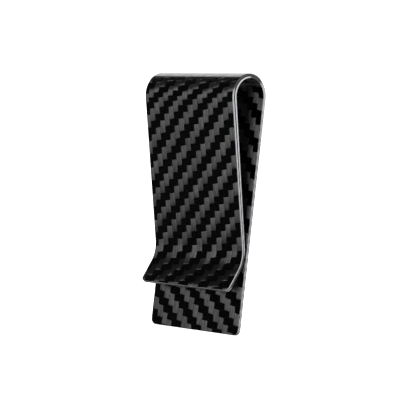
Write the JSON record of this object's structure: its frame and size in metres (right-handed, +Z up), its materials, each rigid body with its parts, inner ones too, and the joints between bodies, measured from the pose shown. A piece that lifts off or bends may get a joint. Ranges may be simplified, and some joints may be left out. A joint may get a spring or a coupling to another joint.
{
  "type": "money clip",
  "caption": "Sprung money clip bent from one strip of glossy black twill-weave carbon-fibre laminate: round loop on top, pinched front leg with a flared lip, longer back leg.",
  "frame": {"origin": "bottom centre of the bounding box, level with the lowest corner of the back leg's foot", "axes": "+Z up along the clip from foot to loop, +Y from the lip towards the back leg, X across the strip's width"},
  "size_m": [0.03, 0.012, 0.0591],
  "materials": {
    "twill_ply": "2x2 twill carbon fibre in glossy clear resin",
    "core_ply": "dark resin-rich carbon core, seen only at the cut edges"
  },
  "bodies": {
    "back_half": {"back_leg_outer_ply": "twill_ply", "back_leg_core_ply": "core_ply", "back_leg_inner_ply": "twill_ply", "loop_back_outer_ply": "twill_ply", "loop_back_core_ply": "core_ply", "loop_back_inner_ply": "twill_ply"},
    "front_arm": {"loop_front_outer_ply": "twill_ply", "loop_front_core_ply": "core_ply", "loop_front_inner_ply": "twill_ply", "front_leg_outer_ply": "twill_ply", "front_leg_core_ply": "core_ply", "front_leg_inner_ply": "twill_ply", "lip_outer_ply": "twill_ply", "lip_core_ply": "core_ply", "lip_inner_ply": "twill_ply"}
  },
  "joints": [
    {"name": "arm_flex", "type": "hinge", "parent": "back_half", "child": "front_arm", "pos_m": [0, 0.00077, 0.05908], "axis": [-1, 0, 0], "range_deg": [0, 12], "stiffness_Nm_per_rad": 5}
  ]
}
